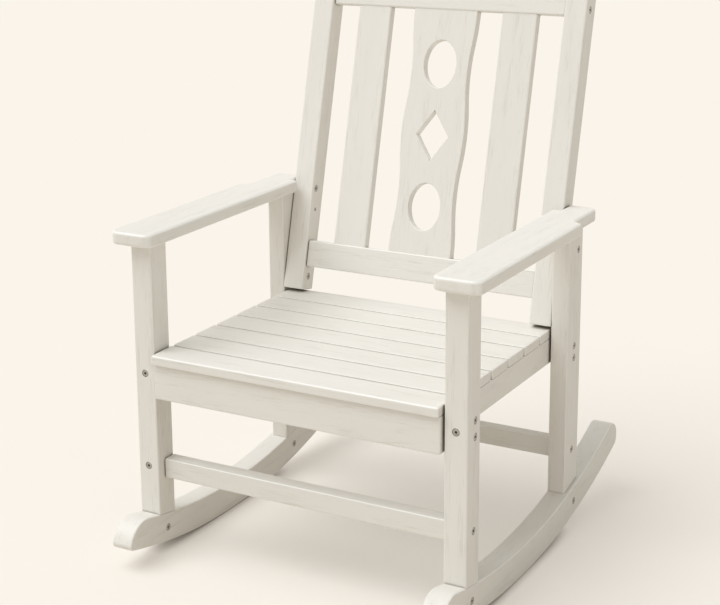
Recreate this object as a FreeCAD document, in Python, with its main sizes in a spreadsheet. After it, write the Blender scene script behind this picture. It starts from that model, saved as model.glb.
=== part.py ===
import FreeCAD, Part
import math
import os
import re

import Sketcher

# A rocking chair of solid boards: two curved rockers, four posts, arms, a slatted seat and a
# leaning back with a pierced splat. Y runs to the back, Z up, and X to the right as seen from
# the front, which is what left and right mean in the names. The origin is on the floor, at the
# middle of the chair's width and depth.

DIMENSIONS = {
    # plan of the frame; depths are counted back from the front posts' front face
    "front_face": -315.5,
    "half_inside": 293.0,
    "edge_round": 3.0,
    "front_post_width": 43.0,
    "front_post_depth": 50.0,
    "rear_post_width": 35.0,
    "rear_post_depth": 63.0,
    "rear_post_at": 460.0,
    "post_top": 602.0,
    # tenons at both ends of every post
    "tenon_inset": 11.0,
    "front_tenon_width": 21.0,
    "rear_tenon_width": 15.0,
    "tenon_shoulder": 11.0,
    "arm_tenon_height": 12.0,
    "front_tenon_foot": 28.0,
    "rear_tenon_foot": 45.0,
    # rockers
    "rocker_radius": 1267.0,
    "rocker_depth": 57.0,
    "rocker_width": 43.0,
    "rocker_middle": 240.0,
    "nose_at": -45.0,
    "nose_radius": 50.0,
    "tail_at": 694.0,
    "tail_radius": 30.0,
    "heel_radius": 10.0,
    "underside_start": -50.0,
    "underside_end": 670.0,
    "underside_steps": 20.0,
    # arms
    "arm_thickness": 25.0,
    "arm_inner": 277.0,
    "arm_outer": 367.0,
    "arm_step": 18.0,
    "arm_step_at": 414.0,
    "arm_step_run": 12.0,
    "arm_overhang": 25.0,
    "arm_length": 566.0,
    "arm_notch_at": 494.0,
    "arm_corner": 19.0,
    "arm_rear_corner": 16.0,
    "arm_small_corner": 7.0,
    "arm_edge_round": 6.0,
    # seat
    "seat_half": 289.5,
    "seat_top": 400.0,
    "slat_count": 7.0,
    "slat_thickness": 18.0,
    "slat_width": 66.5,
    "slat_gap": 6.0,
    "slat_overhang": 16.0,
    "front_slat_round": 4.0,
    "apron_overhang": 8.0,
    "apron_thickness": 20.0,
    "apron_height": 68.0,
    "seat_rail_thickness": 24.0,
    "seat_rail_height": 49.0,
    "seat_rail_end": 508.0,
    "rear_seat_rail_at": 455.0,
    "block_side": 30.0,
    "block_height": 40.0,
    # stretchers
    "front_stretcher_at": 20.0,
    "front_stretcher_depth": 30.0,
    "front_stretcher_bottom": 149.0,
    "rear_stretcher_at": 479.0,
    "rear_stretcher_depth": 25.0,
    "rear_stretcher_bottom": 140.0,
    "stretcher_height": 38.0,
    # back: offsets run square to its leaning front plane, climbs run up along it
    "back_lean": 14.0,
    "back_at": 454.0,
    "stile_width": 44.0,
    "stile_depth": 45.0,
    "stile_foot": 9.0,
    "stile_head": 690.0,
    "rail_offset": 7.0,
    "rail_thickness": 24.0,
    "bottom_rail_at": 57.0,
    "bottom_rail_height": 53.5,
    "top_rail_at": 594.0,
    "top_rail_height": 76.0,
    "back_tenon": 12.0,
    "back_board_offset": 9.0,
    "back_board_thickness": 19.0,
    "back_slat_inner": 120.0,
    "back_slat_width": 72.0,
    # splat: its sides swing about a mean half width
    "splat_half": 64.0,
    "splat_swing": 3.8,
    "splat_middle": 351.0,
    "splat_half_wave": 119.0,
    "hole_middle": 346.0,
    "hole_half_width": 34.5,
    "oval_half_height": 47.0,
    "diamond_half_height": 50.0,
    "oval_spacing": 141.0,
    # hardware
    "head_radius": 6.5,
    "head_height": 2.4,
    "head_clearance": 0.5,
    "socket_radius": 2.4,
    "socket_depth": 1.6,
    "bolt_radius": 3.0,
    "bolt_clearance": 0.2,
    "nut_radius": 4.5,
    "nut_length": 10.0,
    "small_screw_radius": 2.0,
    "small_screw_head": 4.0,
    "small_screw_grip": 13.0,
    "spacer_radius": 8.0,
    "grip": 28.0,
    "stretcher_grip": 45.0,
    "face_screw_length": 18.0,
    "nut_floor": 1.0,
    "nut_end_gap": 1.0,
    "blind_wall": 1.0,
    # how far a cutting outline runs past the wood, or a tenon starts inside it
    "overrun": 10.0,
    # places of the fasteners
    "seat_bolt_depth": 30.0,
    "seat_bolt_high": 372.0,
    "seat_bolt_low": 343.0,
    "rear_bolt_depth": 492.0,
    "rear_bolt_high": 367.0,
    "front_stretcher_bolt_depth": 27.0,
    "front_stretcher_bolt_height": 175.0,
    "rear_stretcher_bolt_height": 158.0,
    "face_screw_high": 357.0,
    "face_screw_low": 176.0,
    "rocker_bolt_depth": 25.0,
    "rocker_bolt_height": 47.0,
    "rear_rocker_bolt_depth": 490.0,
    "rear_rocker_bolt_height": 54.0,
    "stile_bolt_offset": 9.0,
    "stile_bolt_climb": 160.0,
    "small_screw_offset": 20.0,
    "small_screw_climb": 174.0,
    "arm_screw_offset": 14.0,
    "arm_screw_climb": 217.0,
    "stile_screw_offset": 22.0,
    "stile_screw_climb": 36.0,
    "rail_screw_inset": 14.0,
    "front_slat_screw_depth": 21.5,
}

document = FreeCAD.newDocument("RockingChair")
sizes = document.addObject("Spreadsheet::Sheet", "Sizes")
for row, (alias, number) in enumerate(DIMENSIONS.items(), 1):
    sizes.set(f"A{row}", alias)
    sizes.set(f"B{row}", str(number))
    sizes.setAlias(f"B{row}", alias)
document.recompute()

nodes = {}
flat = 0.001
least_cut = 1.0
long_edge = 100.0
bolt_hole = "bolt_radius + bolt_clearance"
counterbore = "head_radius + head_clearance"


# Formulas are written with the sheet's own names.
def formula(text):
    return re.sub(r"[a-z_]+", lambda word: in_sheet(word.group()), text)


def in_sheet(word):
    return f"Sizes.{word}" if word in DIMENSIONS else word


def value(text):
    return float(sizes.evalExpression(formula(text)))


def bind(item, name, text):
    item.setExpression(name, formula(text))


def origin_plane(body, role):
    return next(plane for plane in body.Origin.OriginFeatures if plane.Role == role)


def new_sketch(body, plane, offset):
    sketch = body.newObject("Sketcher::SketchObject", f"{body.Name}_outline")
    sketch.AttachmentSupport = (origin_plane(body, plane), "")
    sketch.MapMode = "FlatFace"
    bind(sketch, "AttachmentOffset.Base.z", offset)
    return sketch


def fix_distance(sketch, kind, geometry, which, text):
    number = sketch.addConstraint(Sketcher.Constraint(kind, -1, 1, geometry, which, value(text)))
    bind(sketch, f"Constraints[{number}]", text)


def fix_point(sketch, geometry, which, across, up):
    fix_distance(sketch, "DistanceX", geometry, which, across)
    fix_distance(sketch, "DistanceY", geometry, which, up)


def fix_radius(sketch, geometry, text):
    number = sketch.addConstraint(Sketcher.Constraint("Radius", geometry, value(text)))
    bind(sketch, f"Constraints[{number}]", text)


# An arc between two points: its centre is left of the way for a turn of 1, right of it for -1.
def arc_between(start, end, radius, turn):
    chord = end - start
    square = FreeCAD.Vector(-chord.y, chord.x, 0).normalize()
    reach = math.sqrt(radius ** 2 - chord.Length ** 2 / 4)
    centre = (start + end) / 2 + square * (turn * reach)
    angles = [math.atan2(point.y - centre.y, point.x - centre.x) for point in (start, end)]
    circle = Part.Circle(centre, FreeCAD.Vector(0, 0, 1), radius)
    first, last = angles if turn > 0 else reversed(angles)
    return Part.ArcOfCircle(circle, first, last)


# A closed outline through points given as formulas; arcs maps a side's number to (radius, turn).
def outline(body, plane, offset, points, arcs=None):
    arcs = arcs or {}
    sketch = new_sketch(body, plane, offset)
    places = [FreeCAD.Vector(value(across), value(up), 0) for across, up in points]
    ends = []
    for side, (start, end) in enumerate(zip(places, places[1:] + places[:1])):
        if side in arcs:
            radius, turn = arcs[side]
            sketch.addGeometry(arc_between(start, end, value(radius), turn))
            fix_radius(sketch, side, radius)
            ends.append((1, 2) if turn > 0 else (2, 1))
        else:
            sketch.addGeometry(Part.LineSegment(start, end))
            ends.append((1, 2))
    for side, (first, last) in enumerate(ends):
        following = (side + 1) % len(ends)
        join = Sketcher.Constraint("Coincident", side, last, following, ends[following][0])
        sketch.addConstraint(join)
        fix_point(sketch, side, first, *points[side])
    return sketch


def box_points(left, low, width, height):
    right = f"{left} + ({width})"
    high = f"{low} + ({height})"
    return [(left, low), (right, low), (right, high), (left, high)]


# No feature merges its faces, which keeps the steps of the rockers' underside.
def pad(body, sketch, length):
    feature = body.newObject("PartDesign::Pad", f"{body.Name}_pad")
    feature.Profile = sketch
    feature.Refine = False
    bind(feature, "Length", length)
    return feature


# A pocket cuts against its plane's normal, or along it when onward is true.
def pocket(body, sketch, depth, onward=False):
    document.recompute()
    before = body.Shape.Volume
    feature = body.newObject("PartDesign::Pocket", f"{body.Name}_pocket")
    feature.Profile = sketch
    feature.Refine = False
    feature.Reversed = onward
    bind(feature, "Length", depth)
    document.recompute()
    if before - body.Shape.Volume < least_cut:
        raise RuntimeError(f"a pocket of {body.Label} cuts nothing")
    return feature


def round_edges(body, feature, radius, chosen=None):
    document.recompute()
    names = [
        f"Edge{number}"
        for number, edge in enumerate(feature.Shape.Edges, 1)
        if chosen is None or chosen(edge)
    ]
    fillet = body.newObject("PartDesign::Fillet", f"{body.Name}_round")
    fillet.Base = (feature, names)
    fillet.Refine = False
    bind(fillet, "Radius", radius)
    document.recompute()
    return fillet


def new_body(name):
    body = document.addObject("PartDesign::Body", name)
    body.Label = name
    nodes[name] = body
    return body


# A square-edged board, given by its lowest corner and its three sizes.
def plank(name, corner, extent):
    body = new_body(name)
    left, front, low = corner
    width, depth, height = extent
    sketch = outline(body, "XY_Plane", low, box_points(left, front, width, depth))
    return body, pad(body, sketch, height)


def board(name, corner, extent):
    body, feature = plank(name, corner, extent)
    round_edges(body, feature, "edge_round")
    return body


# Round holes of one size into one plane of a body.
def drill(body, plane, offset, centres, radius, depth, onward=False):
    sketch = new_sketch(body, plane, offset)
    for number, (across, up) in enumerate(centres):
        centre = FreeCAD.Vector(value(across), value(up), 0)
        sketch.addGeometry(Part.Circle(centre, FreeCAD.Vector(0, 0, 1), value(radius)))
        fix_radius(sketch, number, radius)
        fix_point(sketch, number, 3, across, up)
    return pocket(body, sketch, depth, onward)


# A through or blind hole square to X with a counterbore for the head at its outer end.
def head_holes(body, face, centres, depth, inward):
    toward = inward > 0
    drill(body, "YZ_Plane", face, centres, bolt_hole, depth, toward)
    drill(body, "YZ_Plane", face, centres, counterbore, "head_height", toward)


def lean(body):
    tilt = FreeCAD.Rotation(FreeCAD.Vector(-1, 0, 0), value("back_lean"))
    body.Placement = FreeCAD.Placement(FreeCAD.Vector(), tilt)
    bind(body, "Placement.Base.y", "front_face + back_at")
    bind(body, "Placement.Base.z", "seat_top")
    bind(body, "Placement.Rotation.Angle", "back_lean")


# Where a point of the back, given by its offset and climb, lies in the chair's frame.
def back_point(offset, climb):
    across = f"cos(back_lean * 1deg) * ({offset}) + sin(back_lean * 1deg) * ({climb})"
    up = f"cos(back_lean * 1deg) * ({climb}) - sin(back_lean * 1deg) * ({offset})"
    return f"front_face + back_at + {across}", f"seat_top + {up}"


def mirrored(name, source):
    mirror = document.addObject("Part::Mirroring", name)
    mirror.Label = name
    mirror.Source = nodes[source]
    mirror.Base = FreeCAD.Vector(0, 0, 0)
    mirror.Normal = FreeCAD.Vector(1, 0, 0)
    nodes[name] = mirror
    return mirror


def depth(text):
    return f"front_face + {text}"


# Rocker: two arcs round one centre, closed at the nose and tail by a large arc that is tangent
# to the top arc and a small one that is tangent to it and to the bottom arc. The bottom arc is
# drawn in short steps, so that any mesh of it is fine enough to roll on.
def end_circles(centre, at, large):
    radius, small = value("rocker_radius"), value("heel_radius")
    side = math.copysign(1, at - centre.x)
    out = radius - value("rocker_depth") + large
    angle = math.asin(abs(at - centre.x) / out)
    reach, gap = radius - small, large - small
    cosine = (out ** 2 + reach ** 2 - gap ** 2) / (2 * out * reach)
    further = angle + math.acos(cosine)
    places = []
    for turned, length in ((angle, out), (further, reach)):
        along = side * length * math.sin(turned)
        places.append(FreeCAD.Vector(centre.x + along, centre.y - length * math.cos(turned), 0))
    return places


def rocker_outline(body):
    sketch = new_sketch(body, "YZ_Plane", "half_inside")
    top_radius = "rocker_radius - rocker_depth"
    centre = FreeCAD.Vector(value(depth("rocker_middle")), value("rocker_radius"), 0)
    nose, nose_heel = end_circles(centre, value(depth("nose_at")), value("nose_radius"))
    tail, tail_heel = end_circles(centre, value(depth("tail_at")), value("tail_radius"))
    # anticlockwise seen from +X: round the tail, forward on top, round the nose and back below
    upper = [
        (tail_heel, "heel_radius", 1),
        (tail, "tail_radius", 1),
        (centre, top_radius, -1),
        (nose, "nose_radius", 1),
        (nose_heel, "heel_radius", 1),
    ]
    tail_arc, top_arc, nose_arc = 1, 2, 3
    step = "(underside_end - underside_start) / underside_steps"
    splits = [
        depth(f"underside_start + {number} * {step}")
        for number in range(round(value("underside_steps")) + 1)
    ]
    ring = upper + [(centre, "rocker_radius", 1)] * (len(splits) + 1)
    joints = [touching(*pair) for pair in zip(upper, ring[1:])]
    for split in splits:
        across = value(split) - centre.x
        drop = math.sqrt(value("rocker_radius") ** 2 - across ** 2)
        joints.append(centre + FreeCAD.Vector(across, -drop, 0))
    joints.append(touching(ring[-1], ring[0]))
    ends = []
    for number, (middle, radius, turn) in enumerate(ring):
        spokes = [joints[number - 1] - middle, joints[number] - middle]
        angles = [math.atan2(spoke.y, spoke.x) for spoke in spokes]
        first, last = angles if turn > 0 else reversed(angles)
        circle = Part.Circle(middle, FreeCAD.Vector(0, 0, 1), value(radius))
        sketch.addGeometry(Part.ArcOfCircle(circle, first, last))
        ends.append((1, 2) if turn > 0 else (2, 1))
    # the steps share their centre and their ends; every other joint is tangent
    first_step = len(upper)
    for number, (_, radius, _) in enumerate(ring):
        following = (number + 1) % len(ring)
        kind = "Coincident" if first_step <= number < len(ring) - 1 else "Tangent"
        join = Sketcher.Constraint(kind, number, ends[number][1], following, ends[following][0])
        sketch.addConstraint(join)
        if number <= first_step:
            fix_radius(sketch, number, radius)
        else:
            sketch.addConstraint(Sketcher.Constraint("Coincident", number, 3, first_step, 3))
    sketch.addConstraint(Sketcher.Constraint("Coincident", top_arc, 3, first_step, 3))
    fix_point(sketch, first_step, 3, depth("rocker_middle"), "rocker_radius")
    # the two large end arcs and the steps have their places along the rocker
    fix_distance(sketch, "DistanceX", nose_arc, 3, depth("nose_at"))
    fix_distance(sketch, "DistanceX", tail_arc, 3, depth("tail_at"))
    for number, split in enumerate(splits, first_step):
        fix_distance(sketch, "DistanceX", number, ends[number][1], split)
    return sketch


# Where two tangent circles of the ring meet: on the line of their centres, at the larger radius.
def touching(first, second):
    larger, smaller = sorted((first, second), key=lambda circle: -value(circle[1]))
    toward = (smaller[0] - larger[0]).normalize()
    return larger[0] + toward * value(larger[1])


def in_outline_plane(edge):
    return edge.BoundBox.XLength < flat


def tenon_box(at, post_depth, width):
    inset = "half_inside + tenon_inset"
    length = f"{post_depth} - 2 * tenon_shoulder"
    return box_points(inset, depth(f"{at} + tenon_shoulder"), width, length)


rocker = new_body("right_rocker")
rocker_pad = pad(rocker, rocker_outline(rocker), "rocker_width")
round_edges(rocker, rocker_pad, "edge_round", in_outline_plane)
posts = {
    "front": ("0", "front_post_depth", "front_post_width", "front_tenon_width", "front_tenon_foot"),
    "rear": (
        "rear_post_at", "rear_post_depth", "rear_post_width", "rear_tenon_width", "rear_tenon_foot"
    ),
}
mortise_start = "2 * rocker_depth"
for at, post_depth, _, tenon_width, tenon_foot in posts.values():
    mortise = outline(rocker, "XY_Plane", mortise_start, tenon_box(at, post_depth, tenon_width))
    pocket(rocker, mortise, f"{mortise_start} - {tenon_foot}")
rocker_bolts = [
    (depth("rocker_bolt_depth"), "rocker_bolt_height"),
    (depth("rear_rocker_bolt_depth"), "rear_rocker_bolt_height"),
]
rocker_outside = "half_inside + rocker_width"
head_holes(rocker, rocker_outside, rocker_bolts, "rocker_width", -1)
drill(rocker, "YZ_Plane", "half_inside", rocker_bolts, "nut_radius", "nut_length", True)
drill(rocker, "YZ_Plane", "half_inside", rocker_bolts, counterbore, "head_height", True)


# Post: its foot follows the rocker's top arc, with a tenon below and another above.
def post(side):
    at, post_depth, width, tenon_width, tenon_foot = posts[side]
    body = new_body(f"right_{side}_post")
    plan = box_points("half_inside", depth(at), width, post_depth)
    shaft = pad(body, outline(body, "XY_Plane", "0", plan), "post_top")
    round_edges(body, shaft, "edge_round", lambda edge: edge.BoundBox.ZLength > long_edge)
    near, far = depth(f"{at} - overrun"), depth(f"{at} + {post_depth} + overrun")
    centre = depth("rocker_middle")
    below = [
        (near, "-(overrun)"),
        (far, "-(overrun)"),
        (far, arc_height(far, centre)),
        (near, arc_height(near, centre)),
    ]
    # the arc's centre lies above, on the right of the way back to the front
    arcs = {2: ("rocker_radius - rocker_depth", -1)}
    foot = outline(body, "YZ_Plane", "half_inside - overrun", below, arcs)
    pocket(body, foot, f"{width} + 2 * overrun", True)
    tenon = tenon_box(at, post_depth, tenon_width)
    lower = outline(body, "XY_Plane", tenon_foot, tenon)
    pad(body, lower, f"{mortise_start} - {tenon_foot}")
    upper = outline(body, "XY_Plane", "post_top - overrun", tenon)
    pad(body, upper, "arm_tenon_height + overrun")
    return body


def arc_height(at, centre):
    return f"rocker_radius - sqrt((rocker_radius - rocker_depth) ^ 2 - ({at} - ({centre})) ^ 2)"


front_outside = "half_inside + front_post_width"
rear_outside = "half_inside + rear_post_width"
front_seat_bolts = [
    (depth("seat_bolt_depth"), "seat_bolt_high"),
    (depth("seat_bolt_depth"), "seat_bolt_low"),
]
rear_seat_bolts = [
    (depth("rear_bolt_depth"), "rear_bolt_high"),
    (depth("rear_bolt_depth"), "seat_bolt_low"),
]
front_stretcher_bolt = (depth("front_stretcher_bolt_depth"), "front_stretcher_bolt_height")
rear_stretcher_bolt = (depth("rear_bolt_depth"), "rear_stretcher_bolt_height")
stile_bolt = ("stile_bolt_offset", "stile_bolt_climb")
stile_screw = ("stile_screw_offset", "stile_screw_climb")
small_stile_screw = ("small_screw_offset", "small_screw_climb")
arm_screw = ("arm_screw_offset", "arm_screw_climb")

front_post = post("front")
front_side_bolts = front_seat_bolts + [front_stretcher_bolt]
head_holes(front_post, front_outside, front_side_bolts, "front_post_width", -1)
front_rocker_bolt, rear_rocker_bolt = rocker_bolts
drill(
    front_post, "YZ_Plane", "half_inside", [front_rocker_bolt], bolt_hole, "front_post_width", True
)
post_middle = "half_inside + front_post_width / 2"
face_hole = [(post_middle, "face_screw_high")]
for radius, length in (("bolt_radius", "face_screw_length"), (counterbore, "head_height")):
    drill(front_post, "XZ_Plane", "-(front_face)", face_hole, radius, length)

rear_post = post("rear")
rear_side_bolts = rear_seat_bolts + [rear_stretcher_bolt, back_point(*stile_bolt)]
head_holes(rear_post, rear_outside, rear_side_bolts, "rear_post_width", -1)
drill(
    rear_post, "YZ_Plane", "half_inside", [rear_rocker_bolt], bolt_hole, "rear_post_width", True
)
stile_screw_end = [back_point(*stile_screw)]
drill(rear_post, "YZ_Plane", "half_inside", stile_screw_end, "bolt_radius", "grip", True)
small_screw_end = [back_point(*small_stile_screw)]
drill(
    rear_post, "YZ_Plane", "half_inside", small_screw_end, "small_screw_radius",
    "small_screw_grip", True,
)
mirrored("left_rocker", "right_rocker")
mirrored("left_rear_post", "right_rear_post")


# The left front post has a second face screw, so its mirror image is cut once more.
def bore(name, radius, length):
    tool = document.addObject("Part::Cylinder", name)
    bind(tool, "Radius", radius)
    bind(tool, "Height", length)
    forward = FreeCAD.Rotation(FreeCAD.Vector(0, 0, 1), FreeCAD.Vector(0, 1, 0))
    tool.Placement = FreeCAD.Placement(FreeCAD.Vector(), forward)
    bind(tool, "Placement.Base.x", f"-({post_middle})")
    bind(tool, "Placement.Base.y", "front_face")
    bind(tool, "Placement.Base.z", "face_screw_low")
    return tool


left_front_blank = mirrored("left_front_post_blank", "right_front_post")
face_hole_tool = document.addObject("Part::Fuse", "face_screw_hole")
face_hole_tool.Base = bore("face_screw_shank", "bolt_radius", "face_screw_length")
face_hole_tool.Tool = bore("face_screw_head", counterbore, "head_height")
left_front_post = document.addObject("Part::Cut", "left_front_post")
left_front_post.Base = left_front_blank
left_front_post.Tool = face_hole_tool
left_front_post.Label = "left_front_post"
nodes["left_front_post"] = left_front_post
del nodes["left_front_post_blank"]


# Arm: its outer edge steps in behind the post and a notch clears the back's stile.
def corner_edges(places):
    points = [(value(across), value(up)) for across, up in places]

    def chosen(edge):
        middle = edge.BoundBox.Center
        upright = edge.BoundBox.ZLength > value("arm_thickness") / 2
        near = any(math.dist((middle.x, middle.y), point) < flat for point in points)
        return upright and near

    return chosen


def arm(name):
    body = new_body(name)
    front, rear = depth("0 - arm_overhang"), depth("arm_length - arm_overhang")
    step_end = depth("arm_step_at + arm_step_run")
    narrow = "arm_outer - arm_step"
    points = [
        ("arm_inner", front),
        ("arm_outer", front),
        ("arm_outer", depth("arm_step_at")),
        (narrow, step_end),
        (narrow, rear),
        ("half_inside", rear),
        ("half_inside", depth("arm_notch_at")),
        ("arm_inner", depth("arm_notch_at")),
    ]
    blank = pad(body, outline(body, "XY_Plane", "post_top", points), "arm_thickness")
    corners = [
        ("arm_corner", [points[0], points[1]]),
        ("arm_rear_corner", [points[4]]),
        ("arm_small_corner", [points[2], points[3]]),
        ("arm_edge_round", [points[7]]),
    ]
    for radius, places in corners:
        blank = round_edges(body, blank, radius, corner_edges(places))
    round_edges(body, blank, "arm_edge_round", on_top_or_bottom)
    for at, post_depth, _, tenon_width, _ in posts.values():
        mortise = outline(body, "XY_Plane", "post_top", tenon_box(at, post_depth, tenon_width))
        pocket(body, mortise, "arm_tenon_height", True)
    return body


def on_top_or_bottom(edge):
    return edge.BoundBox.ZLength < flat


right_arm = arm("right_arm")
arm_screw_end = [back_point(*arm_screw)]
drill(right_arm, "YZ_Plane", "half_inside", arm_screw_end, "bolt_radius", "grip", True)
mirrored("left_arm", "right_arm")

# Seat: slats on a frame of an apron, two side rails and a rear rail with corner blocks.
slat_low = "seat_top - slat_thickness"
slat_pitch = "slat_width + slat_gap"
rail_middle = "seat_half - seat_rail_thickness / 2"
screw_depths = [depth("front_slat_screw_depth")]
for number in range(1, round(value("slat_count"))):
    first_middle = "slat_width / 2 - slat_overhang"
    screw_depths.append(depth(f"{first_middle} + {number} * ({slat_pitch})"))


# The front slat is rounder along its top front edge than elsewhere.
def is_top_front(edge):
    box = edge.BoundBox
    front = value(depth("0 - slat_overhang"))
    return box.YMax < front + flat and box.ZMin > value("seat_top") - flat


def is_still_sharp(edge):
    box = edge.BoundBox
    rear = value(depth("slat_width - slat_overhang"))
    return box.XLength < flat or box.ZMax < value(slat_low) + flat or box.YMin > rear - flat


for number, screw_depth in enumerate(screw_depths):
    start = depth(f"{number} * ({slat_pitch}) - slat_overhang")
    corner = ("-(seat_half)", start, slat_low)
    extent = ("2 * seat_half", "slat_width", "slat_thickness")
    if number == 0:
        slat, feature = plank("seat_slat_1", corner, extent)
        feature = round_edges(slat, feature, "front_slat_round", is_top_front)
        round_edges(slat, feature, "edge_round", is_still_sharp)
    else:
        slat = board(f"seat_slat_{number + 1}", corner, extent)
    ends = [(f"{side} * ({rail_middle})", screw_depth) for side in (-1, 1)]
    drill(slat, "XY_Plane", slat_low, ends, "small_screw_radius", "small_screw_grip", True)

board(
    "seat_apron",
    ("-(seat_half)", depth("0 - apron_overhang"), f"{slat_low} - apron_height"),
    ("2 * seat_half", "apron_thickness", "apron_height"),
)
rail_start = "apron_thickness - apron_overhang"
rail_low = f"{slat_low} - seat_rail_height"
side_rail = board(
    "right_seat_rail",
    ("seat_half - seat_rail_thickness", depth(rail_start), rail_low),
    ("seat_rail_thickness", f"seat_rail_end - ({rail_start})", "seat_rail_height"),
)
bolt_grip = "seat_rail_thickness - blind_wall"
all_seat_bolts = front_seat_bolts + rear_seat_bolts
drill(side_rail, "YZ_Plane", "seat_half", all_seat_bolts, "bolt_radius", bolt_grip)
screws_below = [(rail_middle, screw_depth) for screw_depth in screw_depths]
drill(
    side_rail, "XY_Plane", rail_low, screws_below, "small_screw_radius", "seat_rail_height", True
)
drill(side_rail, "XY_Plane", rail_low, screws_below, "small_screw_head", "head_height", True)
mirrored("left_seat_rail", "right_seat_rail")
inner_half = "seat_half - seat_rail_thickness"
board(
    "rear_seat_rail",
    (f"-({inner_half})", depth("rear_seat_rail_at"), rail_low),
    (f"2 * ({inner_half})", "seat_rail_thickness", "seat_rail_height"),
)
for place, start in (("front", rail_start), ("rear", "rear_seat_rail_at - block_side")):
    name = f"right_{place}_corner_block"
    low = f"{slat_low} - block_height"
    corner = (f"{inner_half} - block_side", depth(start), low)
    board(name, corner, ("block_side", "block_side", "block_height"))
    mirrored(f"left_{place}_corner_block", name)

# Stretchers between the posts.
for place, bolt in (("front", front_stretcher_bolt), ("rear", rear_stretcher_bolt)):
    bar = board(
        f"{place}_stretcher",
        ("-(half_inside)", depth(f"{place}_stretcher_at"), f"{place}_stretcher_bottom"),
        ("2 * half_inside", f"{place}_stretcher_depth", "stretcher_height"),
    )
    drill(bar, "YZ_Plane", "half_inside", [bolt], "bolt_radius", "stretcher_grip")
    drill(bar, "YZ_Plane", "-(half_inside)", [bolt], "bolt_radius", "stretcher_grip", True)

# Back: the boards lie in a frame of their own that leans with them.
stile_inner = "half_inside - stile_width"
stile = board(
    "right_back_stile",
    (stile_inner, "0", "stile_foot"),
    ("stile_width", "stile_depth", "stile_head - stile_foot"),
)
lean(stile)
rail_middle_offset = "rail_offset + rail_thickness / 2"
rails = {
    "bottom": ("bottom_rail_at", "bottom_rail_height"),
    "top": ("top_rail_at", "top_rail_height"),
}
rail_screws = {}
for place, (low, height) in rails.items():
    climbs = (f"{low} + rail_screw_inset", f"{low} + {height} - rail_screw_inset")
    rail_screws[place] = [(rail_middle_offset, climb) for climb in climbs]
all_rail_screws = rail_screws["bottom"] + rail_screws["top"]
head_holes(stile, "half_inside", all_rail_screws, "stile_width", -1)
head_holes(stile, stile_inner, [arm_screw, stile_screw], "stile_width", 1)
drill(stile, "YZ_Plane", "half_inside", [stile_bolt], "bolt_radius", "grip")
for radius, length in (("small_screw_radius", "stile_width"), ("small_screw_head", "head_height")):
    drill(stile, "YZ_Plane", stile_inner, [small_stile_screw], radius, length, True)
mirrored("left_back_stile", "right_back_stile")


def back_outline(body, offset, points, arcs=None):
    return outline(body, "XZ_Plane", f"-({offset})", points, arcs)


board_low = "bottom_rail_at + bottom_rail_height - back_tenon"
board_high = "top_rail_at + back_tenon"
board_back = "back_board_offset + back_board_thickness"
slot_widths = [
    ("back_slat_inner", "back_slat_width"),
    ("-(back_slat_inner + back_slat_width)", "back_slat_width"),
    ("-(splat_half + splat_swing)", "2 * (splat_half + splat_swing)"),
]
for place, (low, height) in rails.items():
    rail = board(
        f"{place}_back_rail",
        (f"-({stile_inner})", "rail_offset", low),
        (f"2 * ({stile_inner})", "rail_thickness", height),
    )
    mouth, onward = (f"{low} + {height}", False) if place == "bottom" else (low, True)
    for left, width in slot_widths:
        slot = box_points(left, "back_board_offset", width, "back_board_thickness")
        pocket(rail, outline(rail, "XY_Plane", mouth, slot), "back_tenon", onward)
    drill(rail, "YZ_Plane", stile_inner, rail_screws[place], "bolt_radius", "grip")
    drill(rail, "YZ_Plane", f"-({stile_inner})", rail_screws[place], "bolt_radius", "grip", True)
    lean(rail)

back_slat = new_body("right_back_slat")
board_height = f"{board_high} - ({board_low})"
slat_face = box_points("back_slat_inner", board_low, "back_slat_width", board_height)
slat_pad = pad(back_slat, back_outline(back_slat, board_back, slat_face), "back_board_thickness")
round_edges(back_slat, slat_pad, "edge_round", lambda edge: edge.Length > long_edge)
lean(back_slat)
mirrored("left_back_slat", "right_back_slat")


# Splat: each side is a row of equal arcs, bulging at the middle and the ends, drawn in between.
def splat_edge():
    wide = "splat_half + splat_swing"
    quarter = "splat_half_wave / 2"
    crossings = [f"splat_middle + {steps} * {quarter}" for steps in (-3, -1, 1, 3)]
    bottom, top = (f"splat_middle + {steps} * {quarter}" for steps in (-4, 4))
    points = [(wide, board_low), (wide, bottom)]
    points += [("splat_half", crossing) for crossing in crossings]
    points += [(wide, top), (wide, board_high)]
    return points


right_edge = splat_edge()
left_edge = [(f"-({across})", up) for across, up in reversed(right_edge)]
splat_points = right_edge + left_edge
turns = [1, -1, 1, -1, 1]
splat_radius = "splat_half_wave ^ 2 / (8 * splat_swing) + splat_swing / 2"
splat_arcs = {}
for number, turn in enumerate(turns):
    splat_arcs[number + 1] = (splat_radius, turn)
    splat_arcs[number + 1 + len(right_edge)] = (splat_radius, turn)
splat = new_body("centre_splat")
splat_sketch = back_outline(splat, board_back, splat_points, splat_arcs)
splat_pad = pad(splat, splat_sketch, "back_board_thickness")
for side in (-1, 1):
    oval = new_sketch(splat, "XZ_Plane", f"-({board_back})")
    climb = f"hole_middle + {side} * oval_spacing"
    middle = FreeCAD.Vector(0, value(climb), 0)
    upper = middle + FreeCAD.Vector(0, value("oval_half_height"), 0)
    beside = middle + FreeCAD.Vector(value("hole_half_width"), 0, 0)
    oval.addGeometry(Part.Ellipse(upper, beside, middle))
    fix_point(oval, 0, 3, "0", climb)
    pocket(splat, oval, "back_board_thickness", True)
corners = [("0", -1), ("1", 0), ("0", 1), ("-1", 0)]
diamond = [
    (f"{across} * hole_half_width", f"hole_middle + {up} * diamond_half_height")
    for across, up in corners
]
pocket(splat, back_outline(splat, board_back, diamond), "back_board_thickness", True)


def on_splat_face(edge):
    return edge.BoundBox.YLength < flat


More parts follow.
